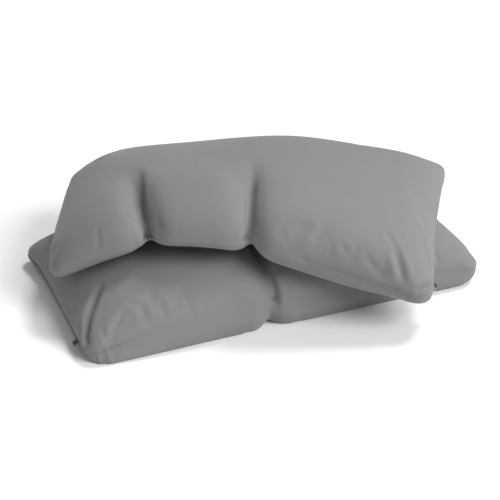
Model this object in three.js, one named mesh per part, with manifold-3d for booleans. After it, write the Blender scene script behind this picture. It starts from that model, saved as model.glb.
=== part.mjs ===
// Two stacked bed pillows in zipped jersey covers, each with its own insert, filling and zip.
// Millimetres and degrees. +X runs along the lower pillow, +Y away from its front edge, +Z is up.
// The origin is the centre of the pair's bounding box, on the surface that the lower pillow rests on.

import * as THREE from "three";
import { mergeVertices } from "three/addons/utils/BufferGeometryUtils.js";
import Module from "manifold-3d";

const wasm = await Module();
wasm.setup();

// Cover: two jersey panels, joined by a knife-edge seam with its allowance inside
const cover = { thickness: 0.8, seamGap: 0.4, cornerRadius: 45, waistFade: 0.5 };
const allowance = { inset: 3, width: 6, thickness: 1, clearOfZip: 4 };

// Insert: a ticking bag a little smaller than the cover, with a corded edge, and the loose filling in it
const insert = { inset: 12, drop: 3, thickness: 0.5 };
const piping = { diameter: 2, clearance: 0.3, sides: 6 };
const filling = { inset: 5, drop: 2, edgeHeight: 1 };

// Labels: a folded ribbon in the seam, and a care label on the insert
const loopLabel = {
  width: 15,
  length: 11,
  cloth: 0.4,
  fold: 0.5,
  fromFrontEdge: 48,
  clearance: 1,
  droop: -38,
  turnSteps: 4,
};
const careLabel = { inset: 6, drop: 1.9, thickness: 0.3, along: 0.75, across: -0.5 };

// Zip in one short side. Depths are measured inwards from the cover's seam
const zip = {
  longest: 250,
  cornerClear: 10,
  opening: 9,
  openingRun: 20,
  openingDepth: 60,
  margin: 3,
  clearance: 0.3,
};
const tape = { depth: 3.8, thickness: 0.5, innerEdge: 0.7, outerEdge: 6.2 };
const coil = { thickness: 1.5, width: 2.2, chamfer: 0.4, endGap: 6 };
const stop = { length: 3, thickness: 1.8 };
const slider = { length: 9, width: 7.6, frontPlate: 1, backPlate: 0.8, web: 0.6, endGap: 0.5 };
const lug = { radius: 1.7, hole: 0.9, width: 2, height: 1.4, segments: 8 };
const pull = { length: 22, width: 5, thickness: 0.8, windowLength: 4.1, sideClearance: 0.4, segments: 6 };

// How a crease fades to its sides and towards its back end
const fold = { sideFade: 1.3, depthGain: 1.6 };

// Lower pillow: lies flat, its ends droop to the surface
const lowerPillow = {
  name: "lower",
  length: 760,
  width: 390,
  crown: 76,
  belly: 100,
  endFullness: 3.4,
  sideFullness: 3.4,
  endWaist: 0.01,
  sideWaist: 0,
  zipEnd: 1,
  seamHeight: 52,
  place: [0, 0],
  turn: 0,
  slopes: [[-400, 14], [-240, 7], [-80, 0], [80, 0], [240, -5], [400, -10]],
  rolls: [[-400, 0], [400, 0]],
  creases: [{ along: -44, width: 25, pull: 12, depth: 0.3, backEnd: 0.3 }],
};

// Upper pillow: lies across the lower one, bent over it, with two folds pinched into its front edge
const upperPillow = {
  name: "upper",
  length: 714,
  width: 372,
  crown: 68,
  belly: 60,
  endFullness: 4.4,
  sideFullness: 4,
  endWaist: 0.02,
  sideWaist: 0.02,
  zipEnd: -1,
  seamHeight: 167,
  place: [-6.6, -17.4],
  turn: -25.3,
  slopes: [[-400, 34], [-230, 12.3], [-100, 5.9], [20, -1.1], [130, -12.4], [240, -13.8], [400, -29.5]],
  rolls: [[-400, 3.5], [-100, -5.5], [100, 2.2], [400, 12.5]],
  creases: [
    { along: -168, width: 22, pull: 32, depth: 0.45, backEnd: 0.2 },
    { along: 30, width: 20, pull: 34, depth: 0.3, backEnd: 0.2 },
  ],
};

// How the upper pillow lies on the lower one
const contact = {
  gap: 3.6,
  bendRadius: 20,
  reach: 36,
  rings: 3,
  directions: 8,
  keptThickness: 0.5,
  straightEnd: 0.2,
  above: 1000,
};

// Grid that every cloth layer of a pillow shares, so that nested layers stay parallel
const grid = {
  along: 16,
  across: 12,
  endCrowding: 0.5,
  sideCrowding: 0.6,
  fromEnd: 9,
  clearOfCrease: 1.6,
  clearOfZip: 0.06,
  cornerShare: 0.29,
  edgePower: 6,
  spineSteps: 60,
};

const finishes = {
  jersey: { color: 0x8e8e8e, roughness: 0.9, metalness: 0 },
  seamThread: { color: 0x7c7c7e, roughness: 0.9, metalness: 0 },
  zipTape: { color: 0x77787a, roughness: 0.85, metalness: 0 },
  zipTeeth: { color: 0x6c6d70, roughness: 0.45, metalness: 0 },
  zipMetal: { color: 0x9a9b9e, roughness: 0.3, metalness: 1 },
  ribbon: { color: 0x2a3046, roughness: 0.6, metalness: 0 },
  ticking: { color: 0xf2f1ed, roughness: 0.9, metalness: 0 },
  careCloth: { color: 0xf6f6f4, roughness: 0.7, metalness: 0 },
  fibre: { color: 0xfafafa, roughness: 1, metalness: 0 },
};

const radians = THREE.MathUtils.degToRad;

function clamp01(t) {
  return Math.min(1, Math.max(0, t));
}

function smooth(t) {
  const s = clamp01(t);
  return s * s * (3 - 2 * s);
}

// Roundness from 1 in the middle to 0 at the seam
function fullness(t, power) {
  return Math.sqrt(Math.max(0, 1 - Math.abs(t) ** power));
}

// Value at s of a smooth curve through [position, value] pairs, level at both ends
function curveThrough(points, s) {
  const last = points.length - 1;
  const at = Math.min(points[last][0], Math.max(points[0][0], s));
  let k = 0;
  while (k < last - 1 && at > points[k + 1][0]) k += 1;
  const span = points[k + 1][0] - points[k][0];
  const t = (at - points[k][0]) / span;
  const from = tangentAt(points, k) * span;
  const to = tangentAt(points, k + 1) * span;
  const rise = points[k + 1][1] - points[k][1];
  const straight = points[k][1] + (3 * t * t - 2 * t ** 3) * rise;
  return straight + (t ** 3 - 2 * t * t + t) * from + (t ** 3 - t * t) * to;
}

function tangentAt(points, k) {
  if (k === 0 || k === points.length - 1) return 0;
  const before = points[k][0] - points[k - 1][0];
  const after = points[k + 1][0] - points[k][0];
  const riseBefore = (points[k][1] - points[k - 1][1]) / before;
  const riseAfter = (points[k + 1][1] - points[k][1]) / after;
  return (riseBefore * after + riseAfter * before) / (before + after);
}

// Where the pillow's middle line lies at a distance s along it, and its slope there
function spineAt(pillow, s) {
  const step = s / grid.spineSteps;
  let run = 0;
  let rise = 0;
  for (let i = 0; i < grid.spineSteps; i += 1) {
    const slope = radians(curveThrough(pillow.slopes, (i + 0.5) * step));
    run += Math.cos(slope) * step;
    rise += Math.sin(slope) * step;
  }
  return { run, rise, slope: radians(curveThrough(pillow.slopes, s)) };
}

// Takes a point of the pillow as it would lie straight and level to its posed place
function posed(pillow, x, y, z) {
  const roll = radians(curveThrough(pillow.rolls, x));
  const across = y * Math.cos(roll) - z * Math.sin(roll);
  const up = y * Math.sin(roll) + z * Math.cos(roll);
  const spine = spineAt(pillow, x);
  const along = spine.run - up * Math.sin(spine.slope);
  const height = spine.rise + up * Math.cos(spine.slope) + pillow.seamHeight;
  const turn = radians(pillow.turn);
  return new THREE.Vector3(
    along * Math.cos(turn) - across * Math.sin(turn) + pillow.place[0],
    along * Math.sin(turn) + across * Math.cos(turn) + pillow.place[1],
    height,
  );
}

// Plan of a layer: a and b run from -1 to 1 along and across the pillow, seam to seam.
// inset moves the layer's edge in behind the cover's seam
function planAt(pillow, a, b, inset) {
  const halfLength = pillow.length / 2;
  const halfWidth = pillow.width / 2;
  const labelSide = smooth(cover.waistFade - pillow.zipEnd * a);
  let x = halfLength * a * (1 - pillow.endWaist * (1 - b * b) * labelSide);
  let y = halfWidth * b * (1 - pillow.sideWaist * (1 - a * a));
  const cornerX = clamp01((Math.abs(x) - halfLength + cover.cornerRadius) / cover.cornerRadius) ** 2;
  const cornerY = clamp01((Math.abs(y) - halfWidth + cover.cornerRadius) / cover.cornerRadius) ** 2;
  const rounding = grid.cornerShare * cover.cornerRadius * cornerX * cornerY;
  x -= Math.sign(x) * rounding;
  y -= Math.sign(y) * rounding;
  let thin = 1;
  for (const crease of pillow.creases) {
    const near = Math.exp(-((Math.abs(x - crease.along) / crease.width) ** fold.sideFade));
    const front = clamp01((crease.backEnd - b) / (crease.backEnd + 1));
    y += crease.pull * near * front * front;
    thin *= 1 - crease.depth * near * smooth(front * fold.depthGain);
  }
  x -= inset * Math.sign(a) * Math.abs(a) ** grid.edgePower;
  y -= inset * Math.sign(b) * Math.abs(b) ** grid.edgePower;
  return { x, y, thin };
}

// The zip's length: as long as it may be, and clear of the rounded corners
function zipLength(pillow) {
  return Math.min(zip.longest, pillow.width - 2 * (cover.cornerRadius + zip.cornerClear));
}

// Half the gap between the two panels' edges: a hair at the seam, the zip's opening at the zip
function halfGapAt(pillow, a, b) {
  const fromZipEnd = (pillow.length / 2) * (1 - pillow.zipEnd * a);
  const beyond = Math.abs((b * pillow.width) / 2) - zipLength(pillow) / 2 - zip.margin;
  const open = smooth(1 - beyond / zip.openingRun) * smooth(1 - fromZipEnd / zip.openingDepth);
  return (cover.seamGap + (zip.opening - cover.seamGap) * open) / 2;
}

function coverHalves(pillow, a, b) {
  const full = fullness(a, pillow.endFullness) * fullness(b, pillow.sideFullness);
  const plan = planAt(pillow, a, b, 0);
  const gap = halfGapAt(pillow, a, b);
  return { plan, top: gap + pillow.crown * full * plan.thin, bottom: -gap - pillow.belly * full * plan.thin };
}

// How far the underside and the top of the cover are pushed up by what the pillow lies on
function liftAt(pillow, a, b) {
  const key = `${a} ${b}`;
  if (!pillow.lifts.has(key)) pillow.lifts.set(key, newLift(pillow, a, b));
  return pillow.lifts.get(key);
}

function newLift(pillow, a, b) {
  const { plan, top, bottom } = coverHalves(pillow, a, b);
  const under = posed(pillow, plan.x, plan.y, bottom);
  const over = posed(pillow, plan.x, plan.y, top);
  const underLift = Math.max(0, pillow.support(under.x, under.y) - under.z);
  const spare = (1 - contact.keptThickness) * (over.z - under.z);
  return { under: underLift, over: Math.max(0, underLift - spare), top, bottom };
}

// The zip's end is lifted as one straight line, because the zip doesn't bend
function zipEndLift(pillow) {
  return Math.max(...acrossLines(pillow).map((b) => liftAt(pillow, pillow.zipEnd, b).under));
}

// Point of a layer: side is 1 above the seam and -1 below it
function layerPoint(pillow, a, b, side, layer) {
  const full = fullness(a, pillow.endFullness) * fullness(b, pillow.sideFullness);
  const plan = planAt(pillow, a, b, layer.inset);
  const room = (side > 0 ? pillow.crown : pillow.belly) * plan.thin - layer.drop;
  const gap = layer.edgeHeight === undefined ? halfGapAt(pillow, a, b) : layer.edgeHeight / 2;
  return lifted(pillow, a, b, plan, side * (gap + room * full));
}

function lifted(pillow, a, b, plan, z) {
  const lift = liftAt(pillow, a, b);
  const share = clamp01((z - lift.bottom) / (lift.top - lift.bottom));
  const nearZipEnd = smooth((pillow.zipEnd * a - 1 + contact.straightEnd) / contact.straightEnd);
  const atZipEnd = zipEndLift(pillow) * nearZipEnd;
  const point = posed(pillow, plan.x, plan.y, z);
  point.z += Math.max(atZipEnd, lift.under) * (1 - share) + Math.max(atZipEnd, lift.over) * share;
  return point;
}

function crowdedLines(count, crowding) {
  const lines = [];
  for (let i = 0; i <= count; i += 1) {
    const t = (2 * i) / count - 1;
    lines.push(crowding * Math.sin((t * Math.PI) / 2) + (1 - crowding) * t);
  }
  return lines;
}

// Grid lines across the pillow, closer at the ends, with one just inside each end and three at each crease
function alongLines(pillow) {
  const halfLength = pillow.length / 2;
  const away = (line, crease) => Math.abs(line * halfLength - crease.along) / crease.width;
  const clear = (line) => pillow.creases.every((crease) => away(line, crease) > grid.clearOfCrease);
  const lines = crowdedLines(grid.along, grid.endCrowding).filter(clear);
  const besideEnd = 1 - grid.fromEnd / halfLength;
  lines.push(-besideEnd, besideEnd);
  for (const crease of pillow.creases) {
    for (const step of [-1, 0, 1]) lines.push((crease.along + step * crease.width) / halfLength);
  }
  return lines.sort((p, q) => p - q);
}

// Grid lines along the pillow, with one at each end of the zip's opening
function acrossLines(pillow) {
  const openEdge = (zipLength(pillow) + 2 * zip.margin) / pillow.width;
  const clear = (line) => Math.abs(Math.abs(line) - openEdge) > grid.clearOfZip;
  const lines = crowdedLines(grid.across, grid.sideCrowding).filter(clear);
  lines.push(-openEdge, openEdge);
  return lines.sort((p, q) => p - q);
}

function layerGrid(pillow, side, layer, alongs, acrosses) {
  return alongs.map((a) => acrosses.map((b) => layerPoint(pillow, a, b, side, layer)));
}

function geometryFrom(points, triangles) {
  const geometry = new THREE.BufferGeometry();
  const positions = points.flatMap((p) => [p.x, p.y, p.z]);
  geometry.setAttribute("position", new THREE.Float32BufferAttribute(positions, 3));
  geometry.setIndex(triangles.flat());
  return geometry;
}

// Closed body between two grids of the same size, upper facing up and lower facing down
function slab(upper, lower) {
  const rows = upper.length;
  const columns = upper[0].length;
  const points = [...upper.flat(), ...lower.flat()];
  const id = (i, j) => i * columns + j;
  const under = rows * columns;
  const triangles = [];
  for (let i = 0; i < rows - 1; i += 1) {
    for (let j = 0; j < columns - 1; j += 1) {
      for (const [p, q, r] of splitCell(i, j, rows, columns, id)) {
        triangles.push([p, q, r], [under + p, under + r, under + q]);
      }
    }
  }
  const edge = edgeLoop(rows, columns, id);
  edge.forEach((p, k) => {
    const q = edge[(k + 1) % edge.length];
    triangles.push([q, p, under + p], [q, under + p, under + q]);
  });
  return geometryFrom(points, triangles);
}

// Two triangles of a grid cell. The diagonal runs from the middle of the grid towards its nearest corner
function splitCell(i, j, rows, columns, id) {
  const right = 2 * i + 1 > rows - 1;
  const far = 2 * j + 1 > columns - 1;
  const [p, q, r, s] = [id(i, j), id(i + 1, j), id(i + 1, j + 1), id(i, j + 1)];
  return right === far ? [[p, q, r], [p, r, s]] : [[p, q, s], [q, r, s]];
}

function edgeLoop(rows, columns, id) {
  const loop = [];
  for (let i = 0; i < rows - 1; i += 1) loop.push(id(i, 0));
  for (let j = 0; j < columns - 1; j += 1) loop.push(id(rows - 1, j));
  for (let i = rows - 1; i > 0; i -= 1) loop.push(id(i, columns - 1));
  for (let j = columns - 1; j > 0; j -= 1) loop.push(id(0, j));
  return loop;
}

// Thin cloth panel between a layer and the same layer one cloth thickness further in
function clothPanel(pillow, side, layer, thickness, alongs, acrosses) {
  const inner = { ...layer, inset: layer.inset + thickness, drop: layer.drop + thickness };
  const outerGrid = layerGrid(pillow, side, layer, alongs, acrosses);
  const innerGrid = layerGrid(pillow, side, inner, alongs, acrosses);
  return side > 0 ? slab(outerGrid, innerGrid) : slab(innerGrid, outerGrid);
}

// Stations round the seam, counter-clockwise from above, starting and ending at the middle of the zip's end
function seamStations(pillow) {
  const alongs = alongLines(pillow);
  const acrosses = acrossLines(pillow);
  const end = pillow.zipEnd;
  const ordered = (lines, direction) => (direction > 0 ? lines : [...lines].reverse());
  const first = ordered(acrosses, end).filter((b) => b * end > 0).map((b) => [end, b]);
  const second = ordered(alongs, -end).slice(1).map((a) => [a, end]);
  const third = ordered(acrosses, -end).slice(1).map((b) => [-end, b]);
  const fourth = ordered(alongs, end).slice(1).map((a) => [a, -end]);
  const fifth = ordered(acrosses, end).slice(1).filter((b) => b * end < 0).map((b) => [end, b]);
  return [...first, ...second, ...third, ...fourth, ...fifth];
}

// Sweeps a section of [inset, height] pairs round the seam
function seamSweep(pillow, stations, section, closed) {
  const points = stations.flatMap(([a, b]) =>
    section.map(([inset, z]) => lifted(pillow, a, b, planAt(pillow, a, b, inset), z)));
  const sides = section.length;
  const triangles = [];
  const count = closed ? stations.length : stations.length - 1;
  for (let k = 0; k < count; k += 1) {
    const next = (k + 1) % stations.length;
    for (let m = 0; m < sides; m += 1) {
      const n = (m + 1) % sides;
      const [p, q, r, s] = [k * sides + m, next * sides + m, next * sides + n, k * sides + n];
      triangles.push([p, q, r], [p, r, s]);
    }
  }
  if (!closed) {
    const last = (stations.length - 1) * sides;
    for (let m = 1; m < sides - 1; m += 1) triangles.push([0, m, m + 1], [last, last + m + 1, last + m]);
  }
  return facingOut(points, triangles);
}

function facingOut(points, triangles) {
  let volume = 0;
  for (const [p, q, r] of triangles) {
    volume += points[p].dot(new THREE.Vector3().crossVectors(points[q], points[r]));
  }
  const outward = volume > 0 ? triangles : triangles.map(([p, q, r]) => [p, r, q]);
  return geometryFrom(points, outward);
}

function allowanceGeometry(pillow) {
  const start = (zipLength(pillow) / 2 + allowance.clearOfZip) / (pillow.width / 2);
  const end = pillow.zipEnd;
  const inner = seamStations(pillow).filter(([a, b]) => a !== end || Math.abs(b) > start);
  const stations = [[end, end * start], ...inner, [end, -end * start]];
  const half = allowance.thickness / 2;
  const far = allowance.inset + allowance.width;
  const section = [[allowance.inset, -half], [allowance.inset, half], [far, half], [far, -half]];
  return seamSweep(pillow, stations, section, false);
}

function pipingGeometry(pillow) {
  const radius = piping.diameter / 2;
  const centre = insert.inset - piping.clearance - radius;
  const section = [];
  for (let k = 0; k < piping.sides; k += 1) {
    const angle = (2 * Math.PI * k) / piping.sides;
    section.push([centre + radius * Math.cos(angle), radius * Math.sin(angle)]);
  }
  return seamSweep(pillow, seamStations(pillow), section, true);
}

function careLabelGeometry(pillow) {
  const cellAround = (lines, target) => {
    const k = Math.max(1, lines.findIndex((line) => line > target));
    return [lines[k - 1], lines[k]];
  };
  const alongs = cellAround(alongLines(pillow), careLabel.along * pillow.zipEnd);
  const acrosses = cellAround(acrossLines(pillow), careLabel.across);
  return clothPanel(pillow, 1, careLabel, careLabel.thickness, alongs, acrosses);
}

function fillingGeometry(pillow) {
  const ticking = insert.thickness;
  const layer = {
    inset: insert.inset + ticking + filling.inset,
    drop: insert.drop + ticking + filling.drop,
    edgeHeight: filling.edgeHeight,
  };
  const alongs = alongLines(pillow);
  const acrosses = acrossLines(pillow);
  return slab(layerGrid(pillow, 1, layer, alongs, acrosses), layerGrid(pillow, -1, layer, alongs, acrosses));
}

function named(name, geometry, finish) {
  const mesh = new THREE.Mesh(geometry, new THREE.MeshStandardMaterial(finishes[finish]));
  mesh.name = name;
  return mesh;
}

// Straight frame at a seam point of a short end: X points out of the pillow, Y along the seam, Z across it
function endFrame(pillow, end, y) {
  const x = (end * pillow.length) / 2;
  const b = (2 * y) / pillow.width;
  const centre = lifted(pillow, end, b, planAt(pillow, end, b, 0), 0);
  const along = posed(pillow, x, y + end, 0).sub(posed(pillow, x, y - end, 0)).normalize();
  const across = posed(pillow, x, y, 1).sub(posed(pillow, x, y, -1)).normalize();
  const out = new THREE.Vector3().crossVectors(along, across).normalize();
  const frame = new THREE.Group();
  frame.applyMatrix4(new THREE.Matrix4().makeBasis(out, along, across).setPosition(centre));
  return frame;
}

// Section drawn in [x, z], extruded along Y from -length/2 to length/2
function extrudedAlongY(outline, length) {
  const shape = new THREE.Shape(outline.map(([x, z]) => new THREE.Vector2(x, z)));
  const geometry = new THREE.ExtrudeGeometry(shape, { depth: length, bevelEnabled: false });
  return geometry.translate(0, 0, -length / 2).rotateX(Math.PI / 2);
}

function boxAt(x0, x1, y0, y1, z0, z1) {
  const box = new THREE.BoxGeometry(x1 - x0, y1 - y0, z1 - z0);
  return box.translate((x0 + x1) / 2, (y0 + y1) / 2, (z0 + z1) / 2);
}

function solidFrom(geometry) {
  const bare = geometry.clone();
  bare.deleteAttribute("normal");
  bare.deleteAttribute("uv");
  const merged = mergeVertices(bare);
  return new wasm.Manifold(new wasm.Mesh({
    numProp: 3,
    vertProperties: new Float32Array(merged.attributes.position.array),
    triVerts: new Uint32Array(merged.index.array),
  }));
}

function geometryOf(solid) {
  const mesh = solid.getMesh();
  const geometry = new THREE.BufferGeometry();
  geometry.setAttribute("position", new THREE.BufferAttribute(new Float32Array(mesh.vertProperties), 3));
  geometry.setIndex(new THREE.BufferAttribute(new Uint32Array(mesh.triVerts), 1));
  return geometry;
}

// Depths of the zip's layers, along the frame's X
const coilBack = -tape.depth + zip.clearance;
const coilFront = coilBack + coil.thickness;
const plateBack = coilFront + zip.clearance;
const plateFront = plateBack + slider.frontPlate;
const tapeBack = -tape.depth - tape.thickness;
const wingFront = tapeBack - zip.clearance;
const wingBack = wingFront - slider.backPlate;
const coilInner = slider.web / 2 + zip.clearance;
const hingeX = plateFront + lug.height;

function tapeGeometry(length, side) {
  const [z0, z1] = side > 0 ? [tape.innerEdge, tape.outerEdge] : [-tape.outerEdge, -tape.innerEdge];
  return boxAt(tapeBack, -tape.depth, -length / 2, length / 2, z0, z1);
}

function coilGeometry(length, side) {
  const outer = coilInner + coil.width;
  const cut = coil.chamfer;
  const outline = [
    [coilBack, coilInner],
    [coilFront - cut, coilInner],
    [coilFront, coilInner + cut],
    [coilFront, outer - cut],
    [coilFront - cut, outer],
    [coilBack, outer],
  ];
  const placed = side > 0 ? outline : outline.map(([x, z]) => [x, -z]);
  return extrudedAlongY(placed, length - 2 * coil.endGap);
}

function stopGeometry(length, end) {
  const near = length / 2 - coil.endGap + zip.clearance;
  const [y0, y1] = end > 0 ? [near, near + stop.length] : [-near - stop.length, -near];
  const half = coilInner + coil.width;
  return boxAt(coilBack, coilBack + stop.thickness, y0, y1, -half, half);
}

// The slider's two plates lie in front of the teeth and behind the tapes, joined by a web between the rows
function sliderGeometry() {
  const half = slider.width / 2;
  const web = slider.web / 2;
  const outline = [
    [wingBack, -half], [wingBack, half], [wingFront, half], [wingFront, web],
    [plateBack, web], [plateBack, half], [plateFront, half], [plateFront, -half],
    [plateBack, -half], [plateBack, -web], [wingFront, -web], [wingFront, -half],
  ];
  const body = solidFrom(extrudedAlongY(outline, slider.length));
  const ring = new THREE.Shape();
  ring.absarc(0, 0, lug.radius, 0, 2 * Math.PI, false);
  const hole = new THREE.Path();
  hole.absarc(0, 0, lug.hole, 0, 2 * Math.PI, true);
  ring.holes.push(hole);
  const turned = { depth: lug.width, bevelEnabled: false, curveSegments: lug.segments };
  const eye = new THREE.ExtrudeGeometry(ring, turned);
  eye.translate(hingeX, 0, -lug.width / 2);
  return geometryOf(body.add(solidFrom(eye)));
}

// Flat tab with a window for the slider's eye. Its bar passes through the eye and is the hinge
function pullGeometry() {
  const bar = pull.thickness / 2;
  const half = pull.width / 2;
  const straight = pull.length - half;
  const tab = new THREE.Shape();
  tab.moveTo(bar, -half);
  tab.lineTo(bar, half);
  tab.lineTo(-straight, half);
  tab.absarc(-straight, 0, half, Math.PI / 2, (3 * Math.PI) / 2, false);
  tab.lineTo(bar, -half);
  const halfWindow = lug.width / 2 + pull.sideClearance;
  const window = new THREE.Path();
  window.moveTo(-bar, -halfWindow);
  window.lineTo(-bar - pull.windowLength, -halfWindow);
  window.lineTo(-bar - pull.windowLength, halfWindow);
  window.lineTo(-bar, halfWindow);
  window.lineTo(-bar, -halfWindow);
  tab.holes.push(window);
  const flat = { depth: pull.thickness, bevelEnabled: false, curveSegments: pull.segments };
  const geometry = new THREE.ExtrudeGeometry(tab, flat);
  geometry.translate(0, 0, -pull.thickness / 2);
  geometry.rotateZ(Math.PI / 2).rotateY(Math.PI / 2);
  return geometry;
}

function loopLabelGeometry() {
  const half = loopLabel.fold / 2;
  const outer = half + loopLabel.cloth;
  const start = loopLabel.clearance;
  const bend = start + loopLabel.length - outer;
  const outline = [[start, outer], [start, half], [bend, half]];
  const steps = loopLabel.turnSteps;
  for (let k = 1; k < steps; k += 1) outline.push(arcPoint(bend, half, 0.5 - k / steps));
  outline.push([bend, -half], [start, -half], [start, -outer], [bend, -outer]);
  for (let k = 1; k < steps; k += 1) outline.push(arcPoint(bend, outer, k / steps - 0.5));
  outline.push([bend, outer]);
  return extrudedAlongY(outline, loopLabel.width);
}

function arcPoint(x, radius, halfTurns) {
  return [x + radius * Math.cos(halfTurns * Math.PI), radius * Math.sin(halfTurns * Math.PI)];
}

function zipGroup(pillow) {
  const frame = endFrame(pillow, pillow.zipEnd, 0);
  const length = zipLength(pillow);
  const name = (piece) => `${pillow.name}_${piece}`;
  frame.add(named(name("zip_tape_top"), tapeGeometry(length, 1), "zipTape"));
  frame.add(named(name("zip_tape_bottom"), tapeGeometry(length, -1), "zipTape"));
  frame.add(named(name("zip_coil_top"), coilGeometry(length, 1), "zipTeeth"));
  frame.add(named(name("zip_coil_bottom"), coilGeometry(length, -1), "zipTeeth"));
  frame.add(named(name("zip_stop_closed"), stopGeometry(length, 1), "zipMetal"));
  frame.add(named(name("zip_stop_open"), stopGeometry(length, -1), "zipMetal"));
  const closedEnd = length / 2 - coil.endGap - slider.endGap - slider.length / 2;
  const moving = new THREE.Group();
  moving.position.set(0, closedEnd, 0);
  const tab = named(name("zip_pull"), pullGeometry(), "zipMetal");
  tab.position.set(hingeX, 0, 0);
  moving.add(named(name("zip_slider"), sliderGeometry(), "zipMetal"), tab);
  frame.add(moving);
  return frame;
}

function labelGroup(pillow) {
  const frame = endFrame(pillow, -pillow.zipEnd, loopLabel.fromFrontEdge - pillow.width / 2);
  const label = named(`${pillow.name}_loop_label`, loopLabelGeometry(), "ribbon");
  label.rotation.y = radians(loopLabel.droop);
  frame.add(label);
  return frame;
}

function pillowGroup(pillow) {
  const alongs = alongLines(pillow);
  const acrosses = acrossLines(pillow);
  const outside = { inset: 0, drop: 0 };
  const inside = { inset: insert.inset, drop: insert.drop, edgeHeight: cover.seamGap };
  const panel = (side, layer, thickness) => clothPanel(pillow, side, layer, thickness, alongs, acrosses);
  const name = (piece) => `${pillow.name}_${piece}`;
  const group = new THREE.Group();
  group.add(named(name("cover_top"), panel(1, outside, cover.thickness), "jersey"));
  group.add(named(name("cover_bottom"), panel(-1, outside, cover.thickness), "jersey"));
  group.add(named(name("cover_seam"), allowanceGeometry(pillow), "seamThread"));
  group.add(named(name("insert_top"), panel(1, inside, insert.thickness), "ticking"));
  group.add(named(name("insert_bottom"), panel(-1, inside, insert.thickness), "ticking"));
  group.add(named(name("insert_piping"), pipingGeometry(pillow), "ticking"));
  group.add(named(name("care_label"), careLabelGeometry(pillow), "careCloth"));
  group.add(named(name("fibre_fill"), fillingGeometry(pillow), "fibre"));
  group.add(zipGroup(pillow), labelGroup(pillow));
  return group;
}

function topHeight(mesh, x, y) {
  const ray = new THREE.Raycaster(new THREE.Vector3(x, y, contact.above), new THREE.Vector3(0, 0, -1));
  const hit = ray.intersectObject(mesh)[0];
  return hit ? hit.point.z : 0;
}

// Height at which cloth lies over a mesh at a point, when it can't bend tighter than the bend radius
function drapeHeight(mesh, x, y) {
  let highest = topHeight(mesh, x, y);
  for (let ring = 1; ring <= contact.rings; ring += 1) {
    const reach = (contact.reach * ring) / contact.rings;
    const fall = (reach * reach) / (2 * contact.bendRadius);
    for (let k = 0; k < contact.directions; k += 1) {
      const angle = (2 * Math.PI * k) / contact.directions;
      const height = topHeight(mesh, x + reach * Math.cos(angle), y + reach * Math.sin(angle));
      highest = Math.max(highest, height - fall);
    }
  }
  return highest;
}

lowerPillow.support = () => 0;
lowerPillow.lifts = new Map();
upperPillow.lifts = new Map();
const lowerGroup = pillowGroup(lowerPillow);
const lowerTop = lowerGroup.getObjectByName("lower_cover_top");
upperPillow.support = (x, y) => drapeHeight(lowerTop, x, y) + contact.gap;
const upperGroup = pillowGroup(upperPillow);

const pair = new THREE.Group();
pair.add(lowerGroup, upperGroup);
pair.updateMatrixWorld(true);
const bounds = new THREE.Box3().setFromObject(pair, true);
pair.position.set(-(bounds.min.x + bounds.max.x) / 2, -(bounds.min.y + bounds.max.y) / 2, -bounds.min.z);
pair.updateMatrixWorld(true);

export default pair;
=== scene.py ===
import math

import bpy
import numpy as np
from mathutils import Matrix, Vector
from mathutils.bvhtree import BVHTree


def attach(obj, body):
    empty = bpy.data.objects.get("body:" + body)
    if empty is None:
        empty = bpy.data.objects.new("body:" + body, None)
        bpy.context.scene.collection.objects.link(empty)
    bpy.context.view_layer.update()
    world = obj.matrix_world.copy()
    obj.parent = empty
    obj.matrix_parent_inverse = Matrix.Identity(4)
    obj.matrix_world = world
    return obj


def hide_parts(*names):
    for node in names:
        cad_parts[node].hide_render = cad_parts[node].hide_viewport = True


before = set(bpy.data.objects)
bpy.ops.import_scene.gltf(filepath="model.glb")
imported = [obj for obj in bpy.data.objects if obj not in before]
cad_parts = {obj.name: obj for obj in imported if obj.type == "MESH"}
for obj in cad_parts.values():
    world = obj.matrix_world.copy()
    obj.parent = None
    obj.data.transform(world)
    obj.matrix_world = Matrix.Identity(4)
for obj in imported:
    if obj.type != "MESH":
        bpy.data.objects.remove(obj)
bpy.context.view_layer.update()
scene = bpy.context.scene
mm = 0.001

# Camera, light and floor
studio = {
    "cameraPlace": (-0.88604, -2.21532, 1.469),
    "cameraYaw": 21.738,
    "cameraPitch": 30.7,
    "lens": 108.0,
    "sensor": 36.0,
    "skyStrength": 0.33,
    "suns": [  # strength, softness, tilt from straight above, heading turned right from the front
        ("keyLight", 1.5, 16.0, 30.0, 112.0),
        ("fillLight", 2.4, 34.0, 52.0, 40.0),
    ],
    "farthest": 50.0,
    "floorSize": 40.0,
    "floorColor": (0.96, 0.96, 0.96),
}


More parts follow.
